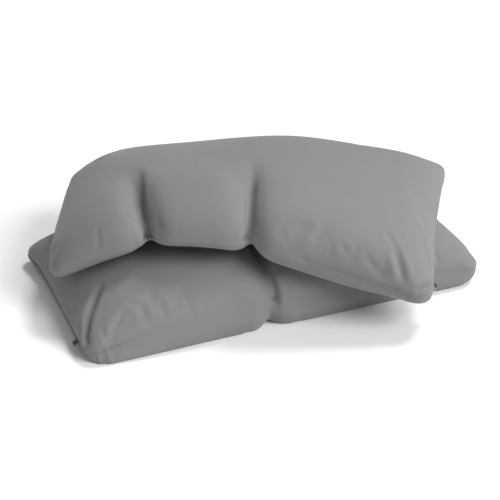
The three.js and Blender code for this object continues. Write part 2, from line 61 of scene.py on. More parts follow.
def addStudio():
    cameraData = bpy.data.cameras.new("camera")
    cameraData.lens = studio["lens"]
    cameraData.sensor_width = studio["sensor"]
    cameraData.clip_end = studio["farthest"]
    camera = bpy.data.objects.new("camera", cameraData)
    camera.location = studio["cameraPlace"]
    tilt = math.radians(90 - studio["cameraPitch"])
    camera.rotation_euler = (tilt, 0, -math.radians(studio["cameraYaw"]))
    scene.collection.objects.link(camera)
    scene.camera = camera

    for name, strength, softness, tilt, heading in studio["suns"]:
        sunData = bpy.data.lights.new(name, "SUN")
        sunData.energy = strength
        sunData.angle = math.radians(softness)
        sun = bpy.data.objects.new(name, sunData)
        sun.rotation_euler = (math.radians(tilt), 0, math.radians(heading))
        scene.collection.objects.link(sun)

    world = bpy.data.worlds.new("studio")
    world.use_nodes = True
    sky = world.node_tree.nodes["Background"]
    sky.inputs["Color"].default_value = (1, 1, 1, 1)
    sky.inputs["Strength"].default_value = studio["skyStrength"]
    scene.world = world
    scene.view_settings.view_transform = "Standard"

    half = studio["floorSize"] / 2
    floorMesh = bpy.data.meshes.new("floor")
    corners = [(-half, -half, 0), (half, -half, 0), (half, half, 0), (-half, half, 0)]
    floorMesh.from_pydata(corners, [], [(0, 1, 2, 3)])
    floor = bpy.data.objects.new("floor", floorMesh)
    paper = bpy.data.materials.new("paper")
    paper.use_nodes = True
    shader = paper.node_tree.nodes["Principled BSDF"]
    shader.inputs["Base Color"].default_value = (*studio["floorColor"], 1)
    shader.inputs["Roughness"].default_value = 0.9
    shader.inputs["Specular IOR Level"].default_value = 0.0
    floorMesh.materials.append(paper)
    scene.collection.objects.link(floor)


# The two pillows, in millimetres and degrees, as they lie
lowerPillow = {
    "name": "lower",
    "body": "lower_pillow",
    "length": 760.0,
    "width": 390.0,
    "crown": 76.0,
    "belly": 100.0,
    "endFullness": 3.4,
    "sideFullness": 3.4,
    "endWaist": 0.01,
    "sideWaist": 0.0,
    "zipEnd": 1,
    "seamHeight": 52.0,
    "place": (1.399, 11.805),
    "turn": 0.0,
    "slopes": [(-400, 14), (-240, 7), (-80, 0), (80, 0), (240, -5), (400, -10)],
    "rolls": [(-400, 0), (400, 0)],
    "creases": [{"along": -36, "width": 17, "pull": 14, "depth": 0.34, "backEnd": 0.3, "lean": 6}],
    "bellyPower": 6.0,
    "frontBelly": [(-400, 1), (400, 1)],
    "spread": 9.0,
    "nudges": [
        {"at": (1, 0.6), "reach": (0.3, 0.9), "move": (2, 0, -7), "side": 1},
        {"at": (1, -1), "reach": (0.15, 0.4), "move": (8, -6, 0), "side": 0},
        {"at": (-1, 1), "reach": (0.12, 0.24), "move": (-11, 5, 1), "side": 0},
    ],
    "folds": [  # path of (a, b) places, half width and depth in millimetres
        {"path": [(-0.8, -0.42), (-0.86, -0.56), (-0.92, -0.69), (-0.96, -0.81), (-0.98, -0.92)],
         "width": 7, "depth": 10, "ridge": 0.12, "taper": 0.5},
        {"path": [(-0.69, -0.82), (-0.685, -0.93), (-0.68, -0.99)], "width": 7, "depth": 1.3},
        {"path": [(-0.64, -0.74), (-0.625, -0.86), (-0.62, -0.97)], "width": 8, "depth": 1.4},
        {"path": [(-0.06, -0.5), (-0.072, -0.8), (-0.072, -1)],
         "width": 6, "depth": 9, "openEnd": True},
    ],
    "puckerSeed": 4,
    "ribbonFrom": 50.0,
    "ribbonDroop": -22,
}
upperPillow = {
    "name": "upper",
    "body": "upper_pillow",
    "length": 714.0,
    "width": 372.0,
    "crown": 68.0,
    "belly": 60.0,
    "endFullness": 4.4,
    "sideFullness": 4.0,
    "endWaist": 0.02,
    "sideWaist": 0.02,
    "zipEnd": -1,
    "seamHeight": 167.0,
    "place": (-5.201, -5.595),
    "turn": -25.3,
    "slopes": [
        (-400, 34), (-230, 12.3), (-100, 5.9), (20, -1.1), (130, -12.4), (240, -13.8), (400, -29.5),
    ],
    "rolls": [(-400, 3.5), (-100, -5.5), (100, 2.2), (400, 12.5)],
    "creases": [
        {"along": -161, "width": 20, "pull": 30, "depth": 0.5, "backEnd": 0.15, "lean": -46},
        {"along": 12, "width": 16, "pull": 35, "depth": 0.34, "backEnd": 0.15, "lean": -6},
    ],
    "bellyPower": 4.0,
    "frontBelly": [(-400, 0.7), (-60, 0.6), (70, 1), (400, 1.1)],
    "spread": 0.0,
    "nudges": [
        {"at": (1, 1), "reach": (0.1, 0.16), "move": (12, 7, 7), "side": 0},
        {"at": (0.85, 0.9), "reach": (0.2, 0.3), "move": (0, 0, 4), "side": 1},
    ],
    "folds": [
        {"path": [(-0.535, -0.02), (-0.51, -0.35), (-0.495, -0.7), (-0.48, -0.9), (-0.46, -1)],
         "width": 8, "depth": 12, "ridge": 0.25, "openEnd": True},
        {"path": [(-0.54, -0.8), (-0.51, -0.93)], "width": 4, "depth": 3},
        {"path": [(0.02, -0.3), (0.018, -0.7), (0.02, -0.9), (0.01, -1)],
         "width": 7, "depth": 10, "openEnd": True},
        {"path": [(0.72, -0.76), (0.77, -0.9), (0.81, -0.985)], "width": 7, "depth": 5.5, "ridge": 0.6},
        {"path": [(0.66, -0.58), (0.71, -0.7), (0.76, -0.82)], "width": 6, "depth": 2.6},
        {"path": [(0.58, -0.93), (0.69, -0.99)], "width": 6, "depth": 2.2},
        {"path": [(0.45, -0.9), (0.51, -0.96)], "width": 5, "depth": 1.6},
        {"path": [(0.83, -0.2), (0.9, -0.38), (0.94, -0.6), (0.97, -0.72)], "width": 5, "depth": -2.6},
        {"path": [(0.88, -0.985), (0.945, -0.88), (0.985, -0.74)], "width": 5, "depth": 6},
    ],
    "puckerSeed": 9,
    "ribbonFrom": 50.0,
    "ribbonDroop": -8,
}
coverShape = {
    "cornerRadius": 45.0,
    "cornerShare": 0.29,
    "seamGap": 0.4,
    "openingFade": 60.0,
    "edgePower": 6,
    "cellsAlong": 156,
    "cellsAcross": 80,
    "endCrowding": 0.6,
    "sideCrowding": 0.85,
    "keptThickness": 0.5,
}
zipShape = {
    "length": 250.0,
    "opening": 9.0,
    "openingRun": 20.0,
    "margin": 3.0,
    "rim": [(1.0, -0.5), (2.4, -0.5), (3.3, 0.2), (3.4, 1.4)],  # depth and rise of the turned-in cloth
}
# How creases fade, where the front belly starts, and where the underside spreads
layShape = {
    "spineEnd": 420,
    "creaseFade": 1.3,
    "creaseGain": 1.6,
    "bellyFrom": 0.1,
    "bellyRun": 0.6,
    "spreadFrom": 0.7,
    "spreadRun": 0.25,
    "spreadHeight": 30.0,
    "zipFrom": 0.8,
}
restShape = {
    "gap": 1.0,
    "bendRadius": 20.0,
    "reach": 36.0,
    "cell": 4.0,
    "areaX": (-400, 400),
    "areaY": (-200, 230),
}


def smooth(t):
    s = np.clip(t, 0, 1)
    return s * s * (3 - 2 * s)


def fullness(t, power):
    return np.sqrt(np.clip(1 - np.abs(t) ** power, 0, 1))


# Smooth curve through (position, value) pairs, level at both ends
def curveThrough(points, s):
    at = np.array([p[0] for p in points], float)
    value = np.array([p[1] for p in points], float)
    rise = np.diff(value) / np.diff(at)
    tangent = np.zeros(len(at))
    for k in range(1, len(at) - 1):
        before, after = at[k] - at[k - 1], at[k + 1] - at[k]
        tangent[k] = (rise[k - 1] * after + rise[k] * before) / (before + after)
    s = np.clip(s, at[0], at[-1])
    k = np.clip(np.searchsorted(at, s, side="right") - 1, 0, len(at) - 2)
    span = at[k + 1] - at[k]
    t = (s - at[k]) / span
    blend = 3 * t**2 - 2 * t**3
    curve = value[k] * (1 - blend) + value[k + 1] * blend
    return curve + (t**3 - 2 * t**2 + t) * span * tangent[k] + (t**3 - t**2) * span * tangent[k + 1]


# Takes points of the pillow as it would lie straight and level to their posed places
def posed(pillow, x, y, z):
    roll = np.radians(curveThrough(pillow["rolls"], x))
    across = y * np.cos(roll) - z * np.sin(roll)
    up = y * np.sin(roll) + z * np.cos(roll)
    end = layShape["spineEnd"]
    stations = np.linspace(-end, end, 2 * end + 1)
    slopes = np.radians(curveThrough(pillow["slopes"], (stations[1:] + stations[:-1]) / 2))
    run = np.concatenate([[0], np.cumsum(np.cos(slopes))])
    rise = np.concatenate([[0], np.cumsum(np.sin(slopes))])
    run, rise = run - run[end], rise - rise[end]
    slope = np.radians(curveThrough(pillow["slopes"], x))
    along = np.interp(x, stations, run) - up * np.sin(slope)
    height = np.interp(x, stations, rise) + up * np.cos(slope) + pillow["seamHeight"]
    turn = math.radians(pillow["turn"])
    return np.stack([
        along * math.cos(turn) - across * math.sin(turn) + pillow["place"][0],
        along * math.sin(turn) + across * math.cos(turn) + pillow["place"][1],
        height,
    ], -1)


# Plan of a layer. a and b run from -1 to 1 along and across the pillow, seam to seam
def planAt(pillow, a, b, inset):
    halfLength, halfWidth = pillow["length"] / 2, pillow["width"] / 2
    radius = coverShape["cornerRadius"]
    labelSide = smooth(0.5 - pillow["zipEnd"] * a)
    x = halfLength * a * (1 - pillow["endWaist"] * (1 - b * b) * labelSide)
    y = halfWidth * b * (1 - pillow["sideWaist"] * (1 - a * a))
    cornerX = np.clip((np.abs(x) - halfLength + radius) / radius, 0, 1) ** 2
    cornerY = np.clip((np.abs(y) - halfWidth + radius) / radius, 0, 1) ** 2
    rounding = coverShape["cornerShare"] * radius * cornerX * cornerY
    x = x - np.sign(x) * rounding
    y = y - np.sign(y) * rounding
    thin = np.ones_like(x)
    for crease in pillow["creases"]:
        line = crease["along"] + crease["lean"] * (b + 1)
        near = np.exp(-((np.abs(x - line) / crease["width"]) ** layShape["creaseFade"]))
        front = np.clip((crease["backEnd"] - b) / (crease["backEnd"] + 1), 0, 1)
        y = y + crease["pull"] * near * front**2
        thin = thin * (1 - crease["depth"] * near * smooth(front * layShape["creaseGain"]))
    x = x - inset * np.sign(a) * np.abs(a) ** coverShape["edgePower"]
    y = y - inset * np.sign(b) * np.abs(b) ** coverShape["edgePower"]
    return x, y, thin


# Height of a layer over the seam on its own side, before posing
def heightAt(pillow, a, b, x, thin, side, drop):
    if side > 0:
        full = fullness(a, pillow["endFullness"]) * fullness(b, pillow["sideFullness"])
        return (pillow["crown"] * thin - drop) * full
    full = fullness(a, pillow["endFullness"]) * fullness(b, pillow["bellyPower"])
    front = curveThrough(pillow["frontBelly"], x)
    share = 1 + (front - 1) * smooth((-b - layShape["bellyFrom"]) / layShape["bellyRun"])
    return (pillow["belly"] * share * thin - drop) * full


def nudged(pillow, a, b, side, points):
    for nudge in pillow["nudges"]:
        if nudge["side"] in (0, side):
            da = (a - nudge["at"][0]) / nudge["reach"][0]
            db = (b - nudge["at"][1]) / nudge["reach"][1]
            points = points + np.exp(-da * da - db * db)[..., None] * np.array(nudge["move"], float)
    return points


def halfGapAt(pillow, a, b):
    fromZipEnd = (pillow["length"] / 2) * (1 - pillow["zipEnd"] * a)
    beyond = np.abs(b * pillow["width"] / 2) - zipShape["length"] / 2 - zipShape["margin"]
    parted = smooth(1 - beyond / zipShape["openingRun"]) * smooth(1 - fromZipEnd / coverShape["openingFade"])
    return (coverShape["seamGap"] + (zipShape["opening"] - coverShape["seamGap"]) * parted) / 2


# Lift of the underside and of the top where the pillow lies on something
def liftsAt(pillow, a, b):
    x, y, thin = planAt(pillow, a, b, 0)
    gap = halfGapAt(pillow, a, b)
    top = gap + heightAt(pillow, a, b, x, thin, 1, 0)
    bottom = -gap - heightAt(pillow, a, b, x, thin, -1, 0)
    under, over = posed(pillow, x, y, bottom), posed(pillow, x, y, top)
    underLift = np.maximum(0, pillow["support"](under[..., 0], under[..., 1]) - under[..., 2])
    spare = (1 - coverShape["keptThickness"]) * (over[..., 2] - under[..., 2])
    return underLift, np.maximum(0, underLift - spare), top, bottom


def lifted(pillow, a, b, x, y, z):
    underLift, overLift, top, bottom = liftsAt(pillow, a, b)
    share = np.clip((z - bottom) / (top - bottom), 0, 1)
    start = layShape["zipFrom"]
    atZipEnd = pillow["zipLift"] * smooth((pillow["zipEnd"] * a - start) / (1 - start))
    underLift = np.maximum(atZipEnd, underLift)
    overLift = np.maximum(atZipEnd, overLift)
    point = posed(pillow, x, y, z)
    point[..., 2] += underLift * (1 - share) + overLift * share
    return point


def layerPoints(pillow, a, b, side, inset=0.0, drop=0.0, edgeHeight=None):
    x, y, thin = planAt(pillow, a, b, inset)
    gap = halfGapAt(pillow, a, b) if edgeHeight is None else edgeHeight / 2
    height = heightAt(pillow, a, b, x, thin, side, drop)
    if side < 0:  # the weight squashes the underside outwards, along the long sides
        edge = smooth((np.abs(b) - layShape["spreadFrom"]) / layShape["spreadRun"])
        y = y + np.sign(b) * pillow["spread"] * edge * smooth(height / layShape["spreadHeight"])
    points = lifted(pillow, a, b, x, y, side * (gap + height))
    return nudged(pillow, a, b, side, points)


def prepareSupport(pillow, support):
    pillow["support"] = support
    pillow["zipLift"] = 0.0
    across = np.linspace(-1, 1, 41)
    ends = np.full_like(across, pillow["zipEnd"])
    pillow["zipLift"] = float(liftsAt(pillow, ends, across)[0].max())


def crowdedLines(count, crowding):
    t = np.linspace(-1, 1, count + 1)
    return crowding * np.sin(t * math.pi / 2) + (1 - crowding) * t


def skinGrid(cellsAlong, cellsAcross):
    return np.meshgrid(
        crowdedLines(cellsAlong, coverShape["endCrowding"]),
        crowdedLines(cellsAcross, coverShape["sideCrowding"]),
        indexing="ij",
    )


# Joins two grids of points into one skin. Where closed is true they share their edge vertices
def skinFaces(closed):
    rows, columns = closed.shape
    count = rows * columns
    ids = np.arange(count).reshape(rows, columns)
    under = np.where(closed, ids, ids + count)
    used = np.concatenate([np.ones(count, bool), ~closed.ravel()])
    newId = np.cumsum(used) - 1
    over = [ids[:-1, :-1], ids[1:, :-1], ids[1:, 1:], ids[:-1, 1:]]
    below = [under[:-1, :-1], under[:-1, 1:], under[1:, 1:], under[1:, :-1]]
    quads = np.concatenate([np.stack(corners, -1).reshape(-1, 4) for corners in (over, below)])
    return {"used": used, "top": newId[ids], "under": newId[under], "faces": newId[quads]}


def gridEdge(a):
    edge = np.zeros(a.shape, bool)
    edge[[0, -1], :] = True
    edge[:, [0, -1]] = True
    return edge


# The cover's skin: vertices are shared along the seam, and at the zip both panels turn in to its tapes
def coverSkin(pillow):
    a, b = skinGrid(coverShape["cellsAlong"], coverShape["cellsAcross"])
    top, bottom = layerPoints(pillow, a, b, 1), layerPoints(pillow, a, b, -1)
    closed = gridEdge(a) & (halfGapAt(pillow, a, b) < coverShape["seamGap"])
    top[closed] = (top[closed] + bottom[closed]) / 2
    skin = skinFaces(closed)
    skin.update(a=a, b=b, closed=closed)
    skin["points"] = np.concatenate([top.reshape(-1, 3), bottom.reshape(-1, 3)])[skin["used"]]
    skin["faces"] = skin["faces"].tolist()
    skin["zipRow"] = -1 if pillow["zipEnd"] > 0 else 0
    turnInRim(pillow, skin)
    return skin


# Adds the strips of cloth that turn in to the zip's tapes
def turnInRim(pillow, skin):
    row, points = skin["zipRow"], skin["points"]
    out, across = zipFrame(pillow)[1:]
    stations = np.nonzero(~skin["closed"][row])[0]
    widths = 2 * halfGapAt(pillow, skin["a"][row], skin["b"][row])
    extra = []
    for side, ids in ((1, skin["top"][row]), (-1, skin["under"][row])):
        columns = {}
        for j in stations:
            share = (float(widths[j]) - coverShape["seamGap"]) / zipShape["opening"]
            columns[j] = [int(ids[j])]
            for depth, rise in zipShape["rim"]:
                columns[j].append(len(points) + len(extra))
                extra.append(points[ids[j]] - out * depth * share + across * side * rise * share)
        for j in range(stations[0] - 1, stations[-1] + 1):
            here = columns.get(j, [int(ids[j])])
            there = columns.get(j + 1, [int(ids[j + 1])])
            for k in range(len(zipShape["rim"])):
                face = [here[min(k, len(here) - 1)], there[min(k, len(there) - 1)],
                        there[min(k + 1, len(there) - 1)], here[min(k + 1, len(here) - 1)]]
                face = [v for n, v in enumerate(face) if v not in face[:n]]
                if len(face) > 2:
                    skin["faces"].append(face if side * pillow["zipEnd"] > 0 else face[::-1])
    skin["points"] = np.concatenate([points, np.array(extra)])
    skin["rim"] = np.arange(len(points), len(points) + len(extra))


# Middle of the zip, and its directions out of the pillow and across the seam
def zipFrame(pillow):
    def place(y, z):
        x = pillow["zipEnd"] * pillow["length"] / 2
        return posed(pillow, np.array([x]), np.array([y]), np.array([z]))[0]

    end, middle = np.array([float(pillow["zipEnd"])]), np.array([0.0])
    x, y, _ = planAt(pillow, end, middle, 0)
    centre = lifted(pillow, end, middle, x, y, middle)[0]
    across = place(0.0, 1.0) - place(0.0, -1.0)
    along = (place(1.0, 0.0) - place(-1.0, 0.0)) * pillow["zipEnd"]
    return centre, unit(np.cross(along, across)), unit(across)


def unit(v):
    return v / np.linalg.norm(v)


def meshObject(name, points, faces, material=None, edges=()):
    mesh = bpy.data.meshes.new(name)
    corners = [list(map(int, face)) for face in faces]
    mesh.from_pydata((np.asarray(points) * mm).tolist(), list(edges), corners)
    mesh.validate()
    mesh.polygons.foreach_set("use_smooth", [True] * len(mesh.polygons))
    if material:
        mesh.materials.append(material)
    obj = bpy.data.objects.new(name, mesh)
    scene.collection.objects.link(obj)
    return obj


def pointsOf(obj):
    points = np.zeros(len(obj.data.vertices) * 3)
    obj.data.vertices.foreach_get("co", points)
    return points.reshape(-1, 3) / mm


def movePoints(obj, points):
    obj.data.vertices.foreach_set("co", (np.asarray(points) * mm).ravel())
    obj.data.update()


def normalsOf(obj):
    normals = np.zeros(len(obj.data.vertices) * 3)
    obj.data.vertices.foreach_get("normal", normals)
    return normals.reshape(-1, 3)


# How the jersey settles over its filling
settling = {
    "slack": 1.008,
    "pressure": 4.0,
    "frames": 18,
    "quality": 5,
    "mass": 0.2,
    "tension": 14.0,
    "shear": 6.0,
    "bending": 0.4,
    "cap": 7.0,
    "share": 0.75,  # how much of the movement is kept
    "contact": 0.5,  # where the underside is lifted by more than this, it lies on something and is held
    "creaseHold": 70.0,
}


def settleCloth(cover, pinned):
    start = pointsOf(cover)
    cover.shape_key_add(name="asLaid")
    cut = cover.shape_key_add(name="cut")
    centre = start.mean(0)
    cutPoints = (centre + (start - centre) * settling["slack"]) * mm
    cut.data.foreach_set("co", cutPoints.ravel())
    group = cover.vertex_groups.new(name="held")
    group.add([int(i) for i in pinned], 1.0, "REPLACE")
    cloth = cover.modifiers.new("cloth", "CLOTH")
    cloth.settings.quality = settling["quality"]
    cloth.settings.mass = settling["mass"]
    cloth.settings.tension_stiffness = settling["tension"]
    cloth.settings.compression_stiffness = settling["tension"]
    cloth.settings.shear_stiffness = settling["shear"]
    cloth.settings.bending_stiffness = settling["bending"]
    cloth.settings.rest_shape_key = cut
    cloth.settings.vertex_group_mass = "held"
    cloth.settings.use_pressure = True
    cloth.settings.uniform_pressure_force = settling["pressure"]
    cloth.settings.effector_weights.gravity = 0
    cloth.collision_settings.use_collision = False
    cloth.point_cache.frame_start = 1
    cloth.point_cache.frame_end = settling["frames"]
    for step in range(1, settling["frames"] + 1):
        scene.frame_set(step)
    settled = cover.evaluated_get(bpy.context.evaluated_depsgraph_get())
    moved = np.zeros(len(settled.data.vertices) * 3)
    settled.data.vertices.foreach_get("co", moved)
    move = moved.reshape(-1, 3) / mm - start
    cover.modifiers.remove(cloth)
    cover.shape_key_clear()
    cover.vertex_groups.clear()
    scene.frame_set(1)
    length = np.maximum(np.linalg.norm(move, axis=1, keepdims=True), 1e-6)
    limited = settling["share"] * settling["cap"] * np.tanh(length / settling["cap"])
    movePoints(cover, start + move / length * limited)


# What a fold has unless it says otherwise
foldShape = {"samples": 24, "taper": 0.7, "ridge": 0.35, "ridgeAt": 2}


# Presses a fold into one panel along a path of (a, b) points, with a soft ridge beside it
def pressFold(cover, skin, fold):
    grid = skin["top"] if fold.get("side", 1) > 0 else skin["under"]
    points, normals = pointsOf(cover), normalsOf(cover)
    linesA, linesB = skin["a"][:, 0], skin["b"][0]
    path = np.array(fold["path"], float)
    fine = np.linspace(0, len(path) - 1, foldShape["samples"])
    pathA = np.interp(fine, np.arange(len(path)), path[:, 0])
    pathB = np.interp(fine, np.arange(len(path)), path[:, 1])
    rowAt = np.clip(np.interp(pathA, linesA, np.arange(len(linesA))), 0, len(linesA) - 1.001)
    columnAt = np.clip(np.interp(pathB, linesB, np.arange(len(linesB))), 0, len(linesB) - 1.001)
    i, j = rowAt.astype(int), columnAt.astype(int)
    u, v = (rowAt - i)[:, None], (columnAt - j)[:, None]
    laid = points[grid]
    low = laid[i, j] * (1 - u) + laid[i + 1, j] * u
    high = laid[i, j + 1] * (1 - u) + laid[i + 1, j + 1] * u
    line = low * (1 - v) + high * v
    ids = np.unique(grid)
    here = points[ids]
    distance = np.full(len(ids), 1e9)
    position = np.zeros(len(ids))
    for k in range(len(line) - 1):
        run = line[k + 1] - line[k]
        t = np.clip(((here - line[k]) @ run) / max(run @ run, 1e-9), 0, 1)
        away = np.linalg.norm(here - line[k] - t[:, None] * run, axis=1)
        closer = away < distance
        distance = np.where(closer, away, distance)
        position = np.where(closer, (k + t) / (len(line) - 1), position)
    position = np.clip(position, 0, 1)
    if fold.get("openEnd"):
        taper = np.sqrt(position)
    else:
        taper = np.sin(position * math.pi) ** fold.get("taper", foldShape["taper"])
    share = distance / fold["width"]
    ridge = fold.get("ridge", foldShape["ridge"]) * np.exp(-((share - foldShape["ridgeAt"]) ** 2))
    press = ridge - np.exp(-share**2)
    points[ids] += normals[ids] * (fold["depth"] * press * taper)[:, None]
    movePoints(cover, points)


# Small gathers along the seam, where the two panels are eased together
puckers = {
    "count": 64,
    "spread": 0.92,
    "onShortSides": 0.45,
    "length": (0.03, 0.09),
    "lean": 0.03,
    "width": (3.0, 6.0),
    "depth": (0.5, 1.8),
}


def puckerSeam(cover, skin, pillow):
    rng = np.random.default_rng(pillow["puckerSeed"])
    for _ in range(puckers["count"]):
        along = rng.uniform(-puckers["spread"], puckers["spread"])
        inward = rng.uniform(*puckers["length"])
        lean = rng.uniform(-puckers["lean"], puckers["lean"])
        end = rng.choice([-1, 1])
        if rng.random() < puckers["onShortSides"]:
            path = [(end, along), (end * (1 - inward), along + lean)]
        else:
            path = [(along, end), (along + lean, end * (1 - 2 * inward))]
        pressFold(cover, skin, {
            "side": rng.choice([-1, 1]),
            "path": path,
            "width": rng.uniform(*puckers["width"]),
            "depth": rng.uniform(*puckers["depth"]),
        })


# The seam draws in a little between the two panels, and stays a crisp line
seamShape = {"draw": 1.3, "sharpness": 0.75}


def drawSeam(cover, skin):
    points, normals = pointsOf(cover), normalsOf(cover)
    ring = skin["top"][skin["closed"]]
    points[ring] -= normals[ring] * seamShape["draw"]
    movePoints(cover, points)
    onSeam = np.zeros(len(points), bool)
    onSeam[ring] = True
    edges = np.zeros(len(cover.data.edges) * 2, int)
    cover.data.edges.foreach_get("vertices", edges)
    sharp = onSeam[edges.reshape(-1, 2)].all(1) * seamShape["sharpness"]
    crease = cover.data.attributes.new("crease_edge", "FLOAT", "EDGE")
    crease.data.foreach_set("value", sharp.astype(np.float32))


def addVectors(obj, name, values):
    attribute = obj.data.attributes.new(name, "FLOAT_VECTOR", "POINT")
    attribute.data.foreach_set("vector", np.asarray(values, np.float32).ravel())


# Flat cloth measures in millimetres, along and across, for the fabric patterns
underShift = 3000.0  # keeps the two panels' patterns apart


def addPattern(obj, skin):
    pattern = np.zeros((len(obj.data.vertices), 3))
    for grid, shift in ((skin["under"], underShift), (skin["top"], 0.0)):
        laid = pointsOf(obj)[grid]
        along = np.linalg.norm(np.diff(laid, axis=0), axis=2).mean(1)
        across = np.linalg.norm(np.diff(laid, axis=1), axis=2).mean(0)
        u = np.concatenate([[0], np.cumsum(along)])[:, None] + np.zeros(grid.shape)
        v = np.concatenate([[0], np.cumsum(across)])[None, :] + np.zeros(grid.shape)
        pattern[grid] = np.stack([u + shift, v, np.zeros_like(u)], -1)
    addVectors(obj, "pattern", pattern)


def heightsOver(obj):
    bpy.context.view_layer.update()
    tree = BVHTree.FromObject(obj, bpy.context.evaluated_depsgraph_get())
    xs = np.arange(*restShape["areaX"], restShape["cell"])
    ys = np.arange(*restShape["areaY"], restShape["cell"])
    heights = np.zeros((len(xs), len(ys)))
    down = Vector((0, 0, -1))
    for i, x in enumerate(xs):
        for j, y in enumerate(ys):
            hit = tree.ray_cast(Vector((x * mm, y * mm, 1.0)), down)[0]
            if hit is not None:
                heights[i, j] = hit.z / mm
    return xs, ys, heights


# Height at which cloth lies over a height field when it can't bend tighter than the bend radius
def drapedSupport(xs, ys, heights):
    reach = int(restShape["reach"] / restShape["cell"])
    draped = heights.copy()
    rows, columns = heights.shape
    padded = np.pad(heights, reach)
    for i in range(-reach, reach + 1):
        for j in range(-reach, reach + 1):
            distance = math.hypot(i, j) * restShape["cell"]
            if 0 < distance <= restShape["reach"]:
                moved = padded[reach + i:reach + i + rows, reach + j:reach + j + columns]
                draped = np.maximum(draped, moved - distance**2 / (2 * restShape["bendRadius"]))
    return fieldOf(xs, ys, draped)


# Function that reads a height field at any place
def fieldOf(xs, ys, heights):
    rows, columns = heights.shape

    def height(x, y):
        i = np.clip((x - xs[0]) / restShape["cell"], 0, rows - 1.001)
        j = np.clip((y - ys[0]) / restShape["cell"], 0, columns - 1.001)
        k, m = i.astype(int), j.astype(int)
        u, v = i - k, j - m
        low = heights[k, m] * (1 - u) + heights[k + 1, m] * u
        high = heights[k, m + 1] * (1 - u) + heights[k + 1, m + 1] * u
        inside = (x > xs[0]) & (x < xs[-1]) & (y > ys[0]) & (y < ys[-1])
        return np.where(inside, low * (1 - v) + high * v, 0) + restShape["gap"]

    return height


# Shader maths: wraps a socket so that ordinary operators add the nodes
class Wire:
    def __init__(self, tree, socket):
        self.tree, self.socket = tree, socket

    def node(self, kind, output=0, settings=(), **inputs):
        made = self.tree.nodes.new(kind)
        for key, value in dict(settings).items():
            setattr(made, key, value)
        for key, value in inputs.items():
            target = made.inputs[int(key[1:]) if key[0] == "i" and key[1:].isdigit() else key]
            if isinstance(value, Wire):
                self.tree.links.new(value.socket, target)
            else:
                target.default_value = value
        return Wire(self.tree, made.outputs[output])

    def maths(self, operation, *others):
        if self.socket.type == "VECTOR":
            values = [(v, v, v) if isinstance(v, (int, float)) else v for v in (self, *others)]
            kind = "ShaderNodeVectorMath"
        else:
            values, kind = (self, *others), "ShaderNodeMath"
        inputs = {"i" + str(n): value for n, value in enumerate(values)}
        return self.node(kind, settings={"operation": operation}, **inputs)

    def __add__(self, other):
        return self.maths("ADD", other)

    def __sub__(self, other):
        return self.maths("SUBTRACT", other)

    def __rsub__(self, other):
        return (self * -1) + other

    def __mul__(self, other):
        return self.maths("MULTIPLY", other)

    __radd__ = __add__
    __rmul__ = __mul__

    def sin(self):
        return self.maths("SINE")

    def abs(self):
        return self.maths("ABSOLUTE")

    def axis(self, n):
        return self.node("ShaderNodeSeparateXYZ", output=n, Vector=self)

    def noise(self, scale, detail=3.0, rough=0.5):
        return self.node("ShaderNodeTexNoise", Vector=self, Scale=scale, Detail=detail, Roughness=rough)

    # Mixes two colours by this value. Inputs 6 and 7 and output 2 are the mix node's colour sockets
    def between(self, low, high):
        colours = [value if isinstance(value, Wire) else (*value, 1) for value in (low, high)]
        return self.node("ShaderNodeMix", 2, {"data_type": "RGBA"}, i0=self, i6=colours[0], i7=colours[1])


def newMaterial(name, constants):
    material = bpy.data.materials.new(name)
    material.use_nodes = True
    shader = material.node_tree.nodes["Principled BSDF"]
    for key, value in constants.items():
        shader.inputs[key].default_value = value
    coordinates = material.node_tree.nodes.new("ShaderNodeTexCoord")
    return material, shader, Wire(material.node_tree, coordinates.outputs["Object"])


def readPattern(material):
    reader = material.node_tree.nodes.new("ShaderNodeAttribute")
    reader.attribute_name = "pattern"
    return Wire(material.node_tree, reader.outputs["Vector"])


def feed(shader, name, wire):
    wire.tree.links.new(wire.socket, shader.inputs[name])


# Height is in millimetres
def bump(shader, height):
    feed(shader, "Normal", height.node("ShaderNodeBump", Height=height, Distance=mm, Strength=1.0))


# Angles per millimetre for wales and courses. Heights in millimetres
knitLook = {
    "constants": {"Specular IOR Level": 0.12, "Sheen Weight": 0.18, "Sheen Roughness": 0.45},
    "dark": (0.196, 0.196, 0.197),
    "light": (0.246, 0.246, 0.247),
    "wale": 6.5,
    "course": 8.2,
    "loopBend": 2.2,
    "roughness": 0.84,
    "yarnHeight": 0.09,
    "slubHeight": 0.12,
    "melangeHeight": 0.04,
    "rippleHeight": 2.4,
}


def knitMaterial(name):
    look = knitLook
    material, shader, place = newMaterial(name, look["constants"])
    pattern = readPattern(material)
    wale = (pattern.axis(0) * look["wale"]).sin()
    course = (pattern.axis(1) * look["course"] + wale.abs() * look["loopBend"]).sin()
    yarn = wale.abs() * 0.6 + course * 0.4
    melange = pattern.noise(0.9, 2.0)
    drift = place.noise(9.0, 4.0, 0.55)
    shade = yarn * 0.25 + melange * 0.35 + drift * 0.5
    feed(shader, "Base Color", shade.between(look["dark"], look["light"]))
    feed(shader, "Roughness", drift * 0.1 + look["roughness"])
    slub = (pattern * (0.02, 0.2, 0.0)).noise(1.4, 2.0)
    ripple = place.noise(16.0, 3.0, 0.5)
    fine = yarn * look["yarnHeight"] + slub * look["slubHeight"] + melange * look["melangeHeight"]
    bump(shader, fine + ripple * look["rippleHeight"])
    return material


